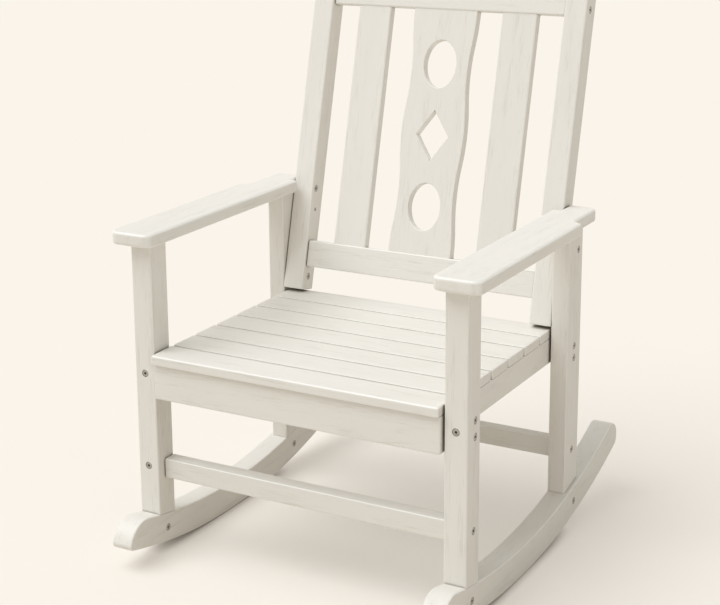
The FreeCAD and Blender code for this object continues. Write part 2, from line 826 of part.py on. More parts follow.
round_edges(splat, splat.Tip, "edge_round / 2", on_splat_face)
lean(splat)


# Fasteners: each kind is turned about its own axis, with its head's top at the origin and its
# shank going down, and a hexagon socket in the head.
def turned(name, profile):
    body = document.addObject("PartDesign::Body", name)
    body.Label = f"{name}_pattern"
    sketch = outline(body, "XZ_Plane", "0", profile)
    feature = body.newObject("PartDesign::Revolution", f"{name}_turn")
    feature.Profile = sketch
    feature.ReferenceAxis = (sketch, ["V_Axis"])
    feature.Angle = 360
    document.recompute()
    return body


def socket(body):
    corners = []
    for number in range(6):
        across = f"socket_radius * cos({60 * number} deg)"
        corners.append((across, f"socket_radius * sin({60 * number} deg)"))
    pocket(body, outline(body, "XY_Plane", "0", corners), "socket_depth")


def screw(name, shank_radius, length, head="head_radius"):
    low = f"-(head_height) - ({length})"
    profile = [
        ("0", "0"), (head, "0"), (head, "-(head_height)"),
        (shank_radius, "-(head_height)"), (shank_radius, low), ("0", low),
    ]
    body = turned(name, profile)
    socket(body)
    return body


def barrel_nut(name):
    low = "-(nut_length)"
    profile = [
        ("0", "0"), ("head_radius", "0"), ("head_radius", "-(head_height)"),
        ("nut_radius", "-(head_height)"), ("nut_radius", low), ("bolt_radius", low),
        ("bolt_radius", "-(head_height) - nut_floor"), ("0", "-(head_height) - nut_floor"),
    ]
    body = turned(name, profile)
    socket(body)
    return body


# Copies of one fastener, each at a point with its head facing outward, in one node.
def fastener_set(name, pattern, places):
    copies = []
    for point, outward in places:
        turn = FreeCAD.Rotation(FreeCAD.Vector(0, 0, 1), FreeCAD.Vector(*outward))
        copy = pattern.Shape.copy()
        copy.Placement = FreeCAD.Placement(FreeCAD.Vector(*map(value, point)), turn)
        copies.append(copy)
    group = document.addObject("Part::Feature", name)
    group.Label = name
    group.Shape = Part.makeCompound(copies)
    group.Placement = FreeCAD.Placement()
    nodes[name] = group


def both_sides(face, centres, outward):
    places = []
    for across, up in centres:
        for side in (-1, 1):
            places.append(((f"{side} * ({face})", across, up), (side * outward, 0, 0)))
    return places


def in_back(centres):
    return [back_point(offset, climb) for offset, climb in centres]


seat_gap = "half_inside - seat_half"
front_length = f"front_post_width + {seat_gap} + {bolt_grip} - head_height"
rear_length = f"rear_post_width + {seat_gap} + {bolt_grip} - head_height"
nut_margin = "head_height + nut_floor + nut_end_gap"
fasteners = [
    ("front_seat_bolts", front_length, both_sides(front_outside, front_seat_bolts, 1)),
    ("rear_seat_bolts", rear_length, both_sides(rear_outside, rear_seat_bolts, 1)),
    (
        "front_stretcher_bolts", "front_post_width + stretcher_grip - head_height",
        both_sides(front_outside, [front_stretcher_bolt], 1),
    ),
    (
        "rear_stretcher_bolts", "rear_post_width + stretcher_grip - head_height",
        both_sides(rear_outside, [rear_stretcher_bolt], 1),
    ),
    (
        "rocker_bolts", f"rocker_width - head_height - ({nut_margin})",
        both_sides(rocker_outside, rocker_bolts, 1),
    ),
    (
        "stile_bolts", "rear_post_width + grip - head_height",
        both_sides(rear_outside, in_back([stile_bolt]), 1),
    ),
    (
        "stile_screws", "stile_width + grip - head_height",
        both_sides(stile_inner, in_back([stile_screw]), -1),
    ),
    (
        "arm_screws", "stile_width + grip - head_height",
        both_sides(stile_inner, in_back([arm_screw]), -1),
    ),
    (
        "back_rail_screws", "stile_width + grip - head_height",
        both_sides("half_inside", in_back(all_rail_screws), 1),
    ),
]
for name, length, places in fasteners:
    fastener_set(name, screw(f"{name}_turned", "bolt_radius", length), places)

nut = barrel_nut("barrel_nut")
fastener_set("rocker_nuts", nut, both_sides("half_inside", rocker_bolts, -1))

face_screw = screw("face_screw", "bolt_radius", "face_screw_length - head_height")
face_places = [("1", "face_screw_high"), ("-1", "face_screw_high"), ("-1", "face_screw_low")]
fastener_set(
    "post_face_screws",
    face_screw,
    [((f"{side} * ({post_middle})", "front_face", up), (0, -1, 0)) for side, up in face_places],
)


def small_screw(name, length):
    return screw(name, "small_screw_radius", length, "small_screw_head")


stile_screw_length = "stile_width + small_screw_grip - head_height"
fastener_set(
    "small_stile_screws",
    small_screw("small_stile_screw", stile_screw_length),
    both_sides(stile_inner, in_back([small_stile_screw]), -1),
)
slat_screw = small_screw("slat_screw", "seat_rail_height + small_screw_grip - head_height")
slat_places = []
for side in (-1, 1):
    for screw_depth in screw_depths:
        slat_places.append(((f"{side} * ({rail_middle})", screw_depth, rail_low), (0, 0, -1)))
fastener_set("slat_screws", slat_screw, slat_places)

# The seat frame stands off the posts on washers round its bolts.
spacer = document.addObject("PartDesign::Body", "spacer")
ring = new_sketch(spacer, "XY_Plane", "0")
for number, radius in enumerate(("spacer_radius", bolt_hole)):
    ring.addGeometry(Part.Circle(FreeCAD.Vector(), FreeCAD.Vector(0, 0, 1), value(radius)))
    fix_radius(ring, number, radius)
    fix_point(ring, number, 3, "0", "0")
pad(spacer, ring, seat_gap)
document.recompute()
fastener_set("seat_spacers", spacer, both_sides("seat_half", all_seat_bolts, 1))

document.recompute()
failed = [item.Label for item in document.Objects if {"Invalid", "Error"} & set(item.State)]
if failed:
    raise RuntimeError(f"objects that did not compute: {failed}")
os.makedirs("parts", exist_ok=True)
for name, item in nodes.items():
    if item.Shape.isNull() or not item.Shape.isValid():
        raise RuntimeError(f"{name} has no valid shape")
    item.Shape.exportStep(f"parts/{name}.step")
print(f"{len(nodes)} sub-parts written")
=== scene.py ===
import math
import random

import bmesh
import bpy
from mathutils import Matrix, Vector


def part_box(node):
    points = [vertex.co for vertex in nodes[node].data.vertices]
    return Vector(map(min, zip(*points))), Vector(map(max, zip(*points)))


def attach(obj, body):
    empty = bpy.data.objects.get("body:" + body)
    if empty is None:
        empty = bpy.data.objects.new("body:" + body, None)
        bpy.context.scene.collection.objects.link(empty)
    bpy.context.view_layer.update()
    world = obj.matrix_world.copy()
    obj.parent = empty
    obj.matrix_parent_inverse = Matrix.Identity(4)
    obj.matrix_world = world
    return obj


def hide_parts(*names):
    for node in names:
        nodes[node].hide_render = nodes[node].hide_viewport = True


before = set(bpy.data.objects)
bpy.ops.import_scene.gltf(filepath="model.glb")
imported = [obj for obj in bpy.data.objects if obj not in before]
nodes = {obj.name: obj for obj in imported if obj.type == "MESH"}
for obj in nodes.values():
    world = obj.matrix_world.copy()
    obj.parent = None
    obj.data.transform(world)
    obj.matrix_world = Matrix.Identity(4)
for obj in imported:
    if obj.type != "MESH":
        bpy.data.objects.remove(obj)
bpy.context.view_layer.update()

# A porch rocking chair of off-white poly lumber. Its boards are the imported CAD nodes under
# materials of their own; the seat's slats and every bolt and screw head are made here.

mm = 0.001
collection = bpy.context.scene.collection


def linear(hexColour):
    channels = [int(hexColour[place:place + 2], 16) / 255 for place in (0, 2, 4)]
    return [c / 12.92 if c <= 0.04045 else ((c + 0.055) / 1.055) ** 2.4 for c in channels] + [1]


def camelCase(name):
    first, *others = name.split("_")
    return first + "".join(word.capitalize() for word in others)


# Helpers for every node tree: each but the first gives back the new node's result.
def addNode(tree, kind, inputs=None, **settings):
    node = tree.nodes.new(kind)
    for name, setting in settings.items():
        setattr(node, name, setting)
    for name, given in (inputs or {}).items():
        if isinstance(given, bpy.types.NodeSocket):
            tree.links.new(given, node.inputs[name])
        else:
            node.inputs[name].default_value = given
    return node


def maths(tree, operation, *given, clamped=False):
    inputs = dict(enumerate(given))
    return addNode(tree, "ShaderNodeMath", inputs, operation=operation, use_clamp=clamped).outputs[0]


def vectorMath(tree, operation, *given):
    inputs = dict(enumerate(given))
    return addNode(tree, "ShaderNodeVectorMath", inputs, operation=operation).outputs[0]


def scaledVector(tree, vector, scale):
    inputs = {0: vector, "Scale": scale}
    return addNode(tree, "ShaderNodeVectorMath", inputs, operation="SCALE").outputs[0]


def lengthOf(tree, vector):
    return addNode(tree, "ShaderNodeVectorMath", {0: vector}, operation="LENGTH").outputs["Value"]


def vectorOf(tree, **parts):
    return addNode(tree, "ShaderNodeCombineXYZ", parts).outputs[0]


def partsOf(tree, vector):
    return addNode(tree, "ShaderNodeSeparateXYZ", {0: vector}).outputs


# Nothing at the first limit, rising to the most at the second one.
def rising(tree, value, limits, most=1.0, kind="LINEAR"):
    inputs = {"Value": value, "From Min": limits[0], "From Max": limits[1], "To Max": most}
    return addNode(tree, "ShaderNodeMapRange", inputs, interpolation_type=kind).outputs["Result"]


def mixed(tree, share, first, second):
    inputs = {"Fac": share, "Color1": first, "Color2": second}
    return addNode(tree, "ShaderNodeMixRGB", inputs).outputs[0]


# How open a place is, from one in the open down to zero deep in a joint.
def openness(tree, width, rays=8):
    inputs = {"Distance": width * mm}
    return addNode(tree, "ShaderNodeAmbientOcclusion", inputs, samples=rays).outputs["AO"]


def newMaterial(name):
    material = bpy.data.materials.new(name)
    material.use_nodes = True
    material.node_tree.nodes.clear()
    return material, material.node_tree


def finishMaterial(tree, shader):
    addNode(tree, "ShaderNodeOutputMaterial", {"Surface": shader.outputs[0]})


# Poly lumber: HDPE extruded into boards and run through an embossing roller. The eye gets an
# off-white satin plastic with fine broken grain lines along every board, a little dust in the
# lines, a slow change of tone from board to board, edges a little smoother with a painted
# highlight along them, and painted shade in the joints between boards.
boardLook = {
    "face": "EBE8E1",
    "toneSpread": 0.025,         # how far one board's tone may be from the next
    "lineWidth": 1.9,            # mm across the grain; real lines are about 1 mm, too fine to show
    "lineLength": 42,            # mm along the grain
    "lineDetail": 3.0,
    "lineLimits": (0.89, 1.16),  # noise at which a line starts and is at its deepest
    "lineDepth": 0.22,           # mm
    "patchWidth": 15,            # mm, where lines gather
    "patchLength": 180,
    "patchPull": 0.7,
    "dust": "C9C3B6",            # what the embossed lines hold
    "dustShare": 0.36,
    "cloudWidth": 55,            # mm, the slow change of tone within a board
    "cloudLength": 320,
    "cloudLimits": (0.3, 0.7),
    "cloudShare": 0.09,
    "skinSize": 1.6,             # mm, the roller's fine texture, drawn twice its real size
    "skinShare": 0.16,           # its depth as a share of the lines'
    "clean": "F6F5F0",           # painted highlight along the rounded edges
    "edgeLimits": (0.97, 0.78),  # how square to the board a face and an edge are
    "edgeHighlightAndSmoothing": 1.5,
    "grime": "766C5C",           # painted shade in the joints between boards and under overhangs
    "jointWidth": 7,             # mm from a joint over which the painted shade fades
    "jointLimits": (0.78, 0.2),  # openness at which the painted shade starts and is deepest
    "jointShadeShare": 0.85,
    "roughness": 0.47,
    "lineRoughness": 0.16,
    "cloudRoughness": 0.14,
    "edgeRoughness": -0.2,
    "bump": 0.9,
    "ior": 1.54,
}


def stretchedNoise(tree, place, axis, length, width, detail=2.0, roughness=0.6):
    scale = [1 / (width * mm)] * 3
    scale["xyz".index(axis)] = 1 / (length * mm)
    stretched = addNode(tree, "ShaderNodeMapping", {"Vector": place, "Scale": scale}).outputs[0]
    return addNode(tree, "ShaderNodeTexNoise", {
        "Vector": stretched, "Scale": 1, "Detail": detail, "Roughness": roughness}).outputs["Fac"]


# One on a rounded edge, where the normal leaves the board's own axes.
def edgeShare(tree, lean, curved):
    normal = addNode(tree, "ShaderNodeNewGeometry").outputs["Normal"]
    own = addNode(tree, "ShaderNodeMapping", {"Vector": normal, "Rotation": (lean, 0, 0)},
                  vector_type="VECTOR").outputs[0]
    across, along, up = partsOf(tree, vectorMath(tree, "ABSOLUTE", own))
    if curved:   # a rocker's top and bottom turn within the YZ plane
        inPlane = lengthOf(tree, vectorOf(tree, Y=along, Z=up))
    else:
        inPlane = maths(tree, "MAXIMUM", along, up)
    square = maths(tree, "MAXIMUM", across, inPlane)
    return rising(tree, square, boardLook["edgeLimits"], kind="SMOOTHSTEP")


def polyLumber(name, axis, lean=0.0, seed=0, curved=False, numbered=False):
    look = boardLook
    chance = random.Random(seed)
    material, tree = newMaterial(name)
    place = addNode(tree, "ShaderNodeTexCoord").outputs["Object"]
    if numbered:   # each slat of a row shows another stretch of grain
        number = addNode(tree, "ShaderNodeAttribute", attribute_name="boardNumber").outputs["Fac"]
        place = vectorMath(tree, "ADD", place, vectorOf(tree, X=number, Z=number))
    place = addNode(tree, "ShaderNodeMapping", {
        "Vector": place,
        "Rotation": (lean, 0, 0),
        "Location": [chance.uniform(1, 9) for _ in range(3)],
    }).outputs[0]

    lines = stretchedNoise(
        tree, place, axis, look["lineLength"], look["lineWidth"], look["lineDetail"])
    patches = stretchedNoise(tree, place, axis, look["patchLength"], look["patchWidth"])
    clouds = stretchedNoise(tree, place, axis, look["cloudLength"], look["cloudWidth"])
    skin = stretchedNoise(tree, place, axis, look["skinSize"], look["skinSize"])

    # lines show where the fine noise is high, and gather where the patches are too
    gathered = maths(tree, "MULTIPLY_ADD", patches, look["patchPull"], lines)
    dip = rising(tree, gathered, look["lineLimits"], kind="SMOOTHSTEP")
    # along the rounded edges: a painted highlight in the colour and a smoother surface
    highlitAndSmoothed = maths(tree, "MULTIPLY", edgeShare(tree, lean, curved), clouds)
    highlitAndSmoothed = maths(tree, "MULTIPLY", highlitAndSmoothed, look["edgeHighlightAndSmoothing"], clamped=True)

    tone = 1 - chance.uniform(0, look["toneSpread"])
    colour = [channel * tone for channel in linear(look["face"])[:3]] + [1]
    dust = linear(look["dust"])
    cloudy = rising(tree, clouds, look["cloudLimits"], look["cloudShare"])
    colour = mixed(tree, cloudy, colour, dust)
    colour = mixed(tree, maths(tree, "MULTIPLY", dip, look["dustShare"]), colour, dust)
    # painted highlight: the rounded edges lightened towards the highlight colour
    colour = mixed(tree, highlitAndSmoothed, colour, linear(look["clean"]))
    # painted shade: darker where another board is near, in the joints and under overhangs
    jointShadeMask = rising(tree, openness(tree, look["jointWidth"]), look["jointLimits"], look["jointShadeShare"])
    colour = mixed(tree, jointShadeMask, colour, linear(look["grime"]))

    # satin, duller in the lines and where the tone is darker, smoother along the edges
    rough = maths(tree, "MULTIPLY_ADD", dip, look["lineRoughness"], look["roughness"])
    rough = maths(tree, "MULTIPLY_ADD", clouds, look["cloudRoughness"], rough)
    rough = maths(tree, "MULTIPLY_ADD", highlitAndSmoothed, look["edgeRoughness"], rough)
    height = maths(tree, "SUBTRACT", maths(tree, "MULTIPLY", skin, look["skinShare"]), dip)
    bump = addNode(tree, "ShaderNodeBump", {
        "Height": height, "Distance": look["lineDepth"] * mm, "Strength": look["bump"]})
    finishMaterial(tree, addNode(tree, "ShaderNodeBsdfPrincipled", {
        "Base Color": colour, "Roughness": rough, "Normal": bump.outputs[0], "IOR": look["ior"]}))
    return material


# Stainless steel, turned and tumbled: a dull grey metal with faint rings round each head, and
# shade painted darker the deeper a point lies below the head's top, in the socket and down the rim.
steelLook = {
    "face": "B6B1A8",
    "dirt": "3C3833",
    "stainSize": 2.5,            # mm
    "stainDetail": 3,
    "stainLimits": (0.45, 0.8),
    "stainShare": 0.35,
    "socketLimits": (0.1, 1.2),  # mm below a head's top where the painted shade starts and is deepest
    "socketShade": 0.85,
    "ringWidth": 0.7,            # mm between rings; real tool marks are finer than the render shows
    "ringDepth": 0.03,           # mm
    "roughness": 0.42,
    "stainAndShadeRoughness": 0.3,
    "bump": 0.7,
}


def turnedSteel(name, onHeads):
    look = steelLook
    material, tree = newMaterial(name)
    place = addNode(tree, "ShaderNodeTexCoord").outputs["Object"]
    scale = 1 / (look["stainSize"] * mm)
    stain = addNode(tree, "ShaderNodeTexNoise", {
        "Vector": place, "Scale": scale, "Detail": look["stainDetail"]}).outputs["Fac"]
    dirt = rising(tree, stain, look["stainLimits"], look["stainShare"])
    rings = stain
    if onHeads:   # headPlace is a point's place on its own head, whose top is at height zero
        own = addNode(tree, "ShaderNodeAttribute", attribute_name="headPlace").outputs["Vector"]
        out = lengthOf(tree, vectorMath(tree, "MULTIPLY", own, (1, 1, 0)))
        turns = maths(tree, "MULTIPLY", out, 2 * math.pi / (look["ringWidth"] * mm))
        rings = maths(tree, "SINE", turns)
        # painted shade: darker the deeper a point lies below the head's top, in the socket and down
        # the rim
        depths = [-depth * mm for depth in look["socketLimits"]]
        deep = rising(tree, partsOf(tree, own)[2], depths, look["socketShade"])
        dirt = maths(tree, "MAXIMUM", dirt, deep)
    colour = mixed(tree, dirt, linear(look["face"]), linear(look["dirt"]))
    rough = maths(tree, "MULTIPLY_ADD", dirt, look["stainAndShadeRoughness"], look["roughness"])
    bump = addNode(tree, "ShaderNodeBump", {
        "Height": rings, "Distance": look["ringDepth"] * mm, "Strength": look["bump"]})
    finishMaterial(tree, addNode(tree, "ShaderNodeBsdfPrincipled", {
        "Base Color": colour, "Metallic": 1.0, "Roughness": rough, "Normal": bump.outputs[0]}))
    return material


def bothSides(*names):
    return [f"{side}_{name}" for name in names for side in ("right", "left")]


# Every board by the way its grain runs; those of the back lean with it.
lean = math.radians(14)
boardsByGrain = [
    ("x", 0.0, ["seat_apron", "rear_seat_rail", "front_stretcher", "rear_stretcher"]),
    ("y", 0.0, bothSides("rocker", "arm", "seat_rail")),
    ("z", 0.0, bothSides("front_post", "rear_post", "front_corner_block", "rear_corner_block")),
    ("x", lean, ["bottom_back_rail", "top_back_rail"]),
    ("z", lean, ["centre_splat"] + bothSides("back_stile", "back_slat")),
]


def paint(node, material):
    mesh = nodes[node].data
    mesh.materials.clear()
    mesh.materials.append(material)


seed = 0
for axis, tilt, names in boardsByGrain:
    for name in names:
        seed += 1
        label = camelCase(f"poly_lumber_{name}")
        paint(name, polyLumber(label, axis, tilt, seed, curved=name.endswith("rocker")))
paint("seat_spacers", turnedSteel("stainlessSteelWashers", onHeads=False))
print("boards and washers painted:", seed + 1)


# Geometry Nodes: a tree with named inputs, and the plain mesh that it grows.
def newTree(name, sockets):
    tree = bpy.data.node_groups.new(name, "GeometryNodeTree")
    for label, kind in sockets.items():
        tree.interface.new_socket(label, in_out="INPUT", socket_type=f"NodeSocket{kind}")
    tree.interface.new_socket("Geometry", in_out="OUTPUT", socket_type="NodeSocketGeometry")
    return tree, tree.nodes.new("NodeGroupInput").outputs


def grow(name, tree, values, mesh=None):
    carrier = bpy.data.objects.new(f"{name}Carrier", mesh or bpy.data.meshes.new(name))
    collection.objects.link(carrier)
    modifier = carrier.modifiers.new("grow", "NODES")
    modifier.node_group = tree
    for item in tree.interface.items_tree:
        if item.in_out == "INPUT" and item.name in values:
            modifier[item.identifier] = values[item.name]
    evaluated = carrier.evaluated_get(bpy.context.evaluated_depsgraph_get())
    grown = bpy.data.meshes.new_from_object(evaluated)
    bpy.data.objects.remove(carrier)
    piece = bpy.data.objects.new(name, grown)
    collection.objects.link(piece)
    return piece


def joinedFrom(tree, parts):
    joined = addNode(tree, "GeometryNodeJoinGeometry")
    for part in parts:
        tree.links.new(part, joined.inputs[0])
    return joined.outputs[0]


# A chance number per element: the node's inputs for its range, and its result.
def chanceNumber(tree, seed):
    node = addNode(tree, "FunctionNodeRandomValue", {}, data_type="FLOAT")
    tree.links.new(seed, node.inputs["Seed"])
    limits = [socket for socket in node.inputs if socket.enabled]
    return limits, next(socket for socket in node.outputs if socket.enabled)


# A board with every edge and corner rounded, the top front one by a radius of its own. A cube's
# grid of points is pushed out: the outer ones turn round the edge in equal steps, and one row
# more keeps the flat faces flat.
def roundedBoardTree(steps, margin):
    tree, given = newTree("roundedBoard", {
        "Size": "Vector", "Round": "Float", "Top front round": "Float"})
    across = 2 * steps + 4
    cube = addNode(tree, "GeometryNodeMeshCube", {
        "Size": (2, 2, 2), "Vertices X": across, "Vertices Y": across, "Vertices Z": across})
    place = addNode(tree, "GeometryNodeInputPosition").outputs[0]
    inward = vectorMath(tree, "SUBTRACT", (1, 1, 1), vectorMath(tree, "ABSOLUTE", place))
    row = vectorMath(tree, "MULTIPLY", inward, [(across - 1) / 2] * 3)
    quarter = math.pi / 4
    turn = vectorMath(tree, "MULTIPLY_ADD", row, [-quarter / steps] * 3, [quarter] * 3)
    outward = vectorMath(tree, "TANGENT", vectorMath(tree, "MAXIMUM", turn, (0, 0, 0)))
    beyond = vectorMath(tree, "MAXIMUM", vectorMath(tree, "SUBTRACT", row, [steps] * 3), (0, 0, 0))
    _, depth, height = partsOf(tree, place)
    inFront = maths(tree, "LESS_THAN", depth, 0)
    onTop = maths(tree, "GREATER_THAN", height, 0)
    radius = addNode(tree, "ShaderNodeMapRange", {
        "Value": maths(tree, "MULTIPLY", inFront, onTop),
        "To Min": given["Round"],
        "To Max": given["Top front round"],
    }).outputs["Result"]
    bend = scaledVector(tree, vectorMath(tree, "NORMALIZE", outward), radius)
    half = vectorMath(tree, "MULTIPLY", given["Size"], [0.5] * 3)
    core = vectorMath(tree, "SUBTRACT", half, vectorOf(tree, X=radius, Y=radius, Z=radius))
    core = vectorMath(tree, "MULTIPLY_ADD", beyond, [-margin] * 3, core)
    side = vectorMath(tree, "SIGN", place)
    pushed = vectorMath(tree, "MULTIPLY", side, vectorMath(tree, "ADD", core, bend))
    placed = addNode(tree, "GeometryNodeSetPosition",
                     {"Geometry": cube.outputs["Mesh"], "Position": pushed})
    addNode(tree, "NodeGroupOutput", {0: placed.outputs[0]})
    return tree


# The seat: a row of equal slats, the front one with a rounder edge and each of the others a hair
# out of line.
seatLook = {
    "count": 7,
    "edgeRound": 2,       # mm
    "frontRound": 4,      # mm, along the top front edge of the row
    "endPlay": 0.5,       # mm by which a slat may sit to one side
    "roundSteps": 4,
    "flatMargin": 0.6,    # mm
    "seed": 4,
}


def seatSlatsTree(board):
    tree, given = newTree("seatSlats", {
        "Count": "Int", "Start": "Vector", "Board size": "Vector", "Pitch": "Float",
        "Edge round": "Float", "Front round": "Float", "End play": "Float", "Seed": "Int",
        "Finish": "Material"})

    def slat(topFrontRound):
        return addNode(tree, "GeometryNodeGroup", {
            "Size": given["Board size"],
            "Round": given["Edge round"],
            "Top front round": given[topFrontRound],
        }, node_tree=board).outputs[0]

    step = vectorOf(tree, Y=given["Pitch"])
    row = addNode(tree, "GeometryNodeMeshLine", {
        "Count": maths(tree, "SUBTRACT", given["Count"], 1),
        "Start Location": step, "Offset": step}).outputs[0]
    laid = addNode(tree, "GeometryNodeInstanceOnPoints",
                   {"Points": row, "Instance": slat("Edge round")}).outputs[0]
    index = addNode(tree, "GeometryNodeInputIndex").outputs[0]
    marked = addNode(tree, "GeometryNodeStoreNamedAttribute", {
        "Geometry": laid, "Name": "boardNumber", "Value": maths(tree, "ADD", index, 1),
    }, data_type="FLOAT", domain="INSTANCE").outputs[0]
    limits, drawn = chanceNumber(tree, given["Seed"])
    tree.links.new(maths(tree, "MULTIPLY", given["End play"], -1), limits[0])
    tree.links.new(given["End play"], limits[1])
    moved = addNode(tree, "GeometryNodeTranslateInstances",
                    {"Instances": marked, "Translation": vectorOf(tree, X=drawn)}).outputs[0]
    joined = joinedFrom(tree, (moved, slat("Front round")))
    placed = addNode(tree, "GeometryNodeTransform",
                     {"Geometry": joined, "Translation": given["Start"]}).outputs[0]
    real = addNode(tree, "GeometryNodeRealizeInstances", {"Geometry": placed}).outputs[0]
    smooth = addNode(tree, "GeometryNodeSetShadeSmooth", {"Geometry": real}).outputs[0]
    painted = addNode(tree, "GeometryNodeSetMaterial",
                      {"Geometry": smooth, "Material": given["Finish"]}).outputs[0]
    addNode(tree, "NodeGroupOutput", {0: painted})
    return tree


slatNames = [f"seat_slat_{number}" for number in range(1, seatLook["count"] + 1)]
low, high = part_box(slatNames[0])
boardTree = roundedBoardTree(seatLook["roundSteps"], seatLook["flatMargin"] * mm)
seatSlats = grow("seatSlats", seatSlatsTree(boardTree), {
    "Count": seatLook["count"],
    "Start": list((low + high) / 2),
    "Board size": list(high - low),
    "Pitch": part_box(slatNames[1])[0].y - low.y,
    "Edge round": seatLook["edgeRound"] * mm,
    "Front round": seatLook["frontRound"] * mm,
    "End play": seatLook["endPlay"] * mm,
    "Seed": seatLook["seed"],
    "Finish": polyLumber("polyLumberSeatSlats", "x", seed=seed + 1, numbered=True),
})
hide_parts(*slatNames)
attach(seatSlats, "root")
print("seat slats laid:", len(slatNames))


# Heads of the bolts, screws and barrel nuts: a flat disc with a bevelled rim and a hexagon
# socket, turned by chance about its own axis, at every fastener of the CAD nodes.
headLook = {
    "radius": 6.8,        # mm, a little over the CAD heads, so that less of the hole shows
    "cadRadius": 6.5,
    "height": 2.2,
    "rim": 0.9,
    "socketRadius": 2.7,
    "socketDepth": 1.7,
    "sunk": 0.2,          # how far a head lies below the board's face
    "sides": 36,
    "weld": 0.01,         # mm, points of a head closer than this become one
    "cadWeld": 0.001,     # the same for the CAD's fasteners
    "seed": 11,
}
headFacing = {
    "front_seat_bolts": "out",
    "rear_seat_bolts": "out",
    "front_stretcher_bolts": "out",
    "rear_stretcher_bolts": "out",
    "rocker_bolts": "out",
    "stile_bolts": "out",
    "back_rail_screws": "out",
    "stile_screws": "in",
    "arm_screws": "in",
    "rocker_nuts": "in",
    "small_stile_screws": "in",
    "post_face_screws": "front",
    "slat_screws": "down",
}


# One head, its top at height zero and its axis along Z.
def headShape(tree, given, sides):
    corners = 6
    headRadius, headHeight, rim = given["Head radius"], given["Head height"], given["Rim"]
    socketRadius, socketDepth = given["Socket radius"], given["Socket depth"]

    def lowered(geometry, depth):
        down = vectorOf(tree, Z=maths(tree, "MULTIPLY", depth, -1))
        inputs = {"Geometry": geometry, "Translation": down}
        return addNode(tree, "GeometryNodeTransform", inputs).outputs[0]

    def ring(resolution, radius):
        inputs = {"Resolution": resolution, "Radius": radius}
        return addNode(tree, "GeometryNodeCurvePrimitiveCircle", inputs).outputs[0]

    def disc(vertices, radius):
        inputs = {"Vertices": vertices, "Radius": radius}
        return addNode(tree, "GeometryNodeMeshCircle", inputs, fill_type="NGON").outputs[0]

    def tube(vertices, radius, depth):
        inputs = {"Vertices": vertices, "Radius": radius, "Depth": depth}
        return addNode(tree, "GeometryNodeMeshCylinder", inputs, fill_type="NONE").outputs[0]

    topRadius = maths(tree, "SUBTRACT", headRadius, rim)
    outlines = joinedFrom(tree, (ring(sides, topRadius), ring(corners, socketRadius)))
    top = addNode(tree, "GeometryNodeFillCurve", {0: outlines}).outputs[0]
    bevel = addNode(tree, "GeometryNodeMeshCone", {
        "Vertices": sides, "Radius Top": topRadius, "Radius Bottom": headRadius, "Depth": rim,
    }, fill_type="NONE").outputs[0]
    wall = tube(sides, headRadius, maths(tree, "SUBTRACT", headHeight, rim))
    wallMiddle = maths(tree, "MULTIPLY", maths(tree, "ADD", headHeight, rim), 0.5)
    socketMiddle = maths(tree, "MULTIPLY", socketDepth, 0.5)
    head = joinedFrom(tree, (
        top,
        lowered(bevel, rim),
        lowered(wall, wallMiddle),
        lowered(tube(corners, socketRadius, socketDepth), socketMiddle),
        lowered(disc(corners, socketRadius), socketDepth),
        lowered(disc(sides, headRadius), headHeight),
    ))
    closed = addNode(tree, "GeometryNodeMergeByDistance",
                     {"Geometry": head, "Distance": headLook["weld"] * mm}).outputs[0]
    place = addNode(tree, "GeometryNodeInputPosition").outputs[0]
    inputs = {"Geometry": closed, "Name": "headPlace", 3: place}
    return addNode(tree, "GeometryNodeStoreNamedAttribute", inputs,
                   data_type="FLOAT_VECTOR").outputs[0]


def fastenerHeadsTree(sides):
    tree, given = newTree("fastenerHeads", {
        "Geometry": "Geometry", "Head radius": "Float", "Head height": "Float", "Rim": "Float",
        "Socket radius": "Float", "Socket depth": "Float", "Sunk": "Float", "Seed": "Int",
        "Finish": "Material"})

    def stored(name, kind):
        return addNode(tree, "GeometryNodeInputNamedAttribute", {"Name": name},
                       data_type=kind).outputs[0]

    head = headShape(tree, given, sides)
    outward = stored("outward", "FLOAT_VECTOR")
    faced = addNode(tree, "FunctionNodeAlignRotationToVector", {"Vector": outward}, axis="Z")
    limits, drawn = chanceNumber(tree, given["Seed"])
    limits[1].default_value = 2 * math.pi
    spin = addNode(tree, "FunctionNodeAxisAngleToRotation", {"Axis": (0, 0, 1), "Angle": drawn})
    turned = addNode(tree, "FunctionNodeRotateRotation", {
        "Rotation": faced.outputs[0], "Rotate By": spin.outputs[0],
    }, rotation_space="LOCAL").outputs[0]
    shift = scaledVector(tree, outward, maths(tree, "MULTIPLY", given["Sunk"], -1))
    seated = addNode(tree, "GeometryNodeSetPosition",
                     {"Geometry": given["Geometry"], "Offset": shift}).outputs[0]
    heads = addNode(tree, "GeometryNodeInstanceOnPoints", {
        "Points": seated, "Instance": head, "Rotation": turned,
        "Scale": stored("headSize", "FLOAT")}).outputs[0]
    real = addNode(tree, "GeometryNodeRealizeInstances", {"Geometry": heads}).outputs[0]
    painted = addNode(tree, "GeometryNodeSetMaterial",
                      {"Geometry": real, "Material": given["Finish"]}).outputs[0]
    addNode(tree, "NodeGroupOutput", {0: painted})
    return tree


# The separate solids of a CAD node, each as the lowest and highest corner of its box.
def solidBoxes(node):
    work = bmesh.new()
    work.from_mesh(nodes[node].data)
    bmesh.ops.remove_doubles(work, verts=work.verts, dist=headLook["cadWeld"] * mm)
    waiting, boxes = set(work.verts), []
    while waiting:
        group, edge = set(), [waiting.pop()]
        while edge:
            vertex = edge.pop()
            group.add(vertex)
            near = {link.other_vert(vertex) for link in vertex.link_edges} & waiting
            waiting -= near
            edge += near
        boxes.append([Vector([pick(v.co[axis] for v in group) for axis in range(3)])
                      for pick in (min, max)])
    work.free()
    return sorted(boxes, key=lambda box: tuple(box[0]))


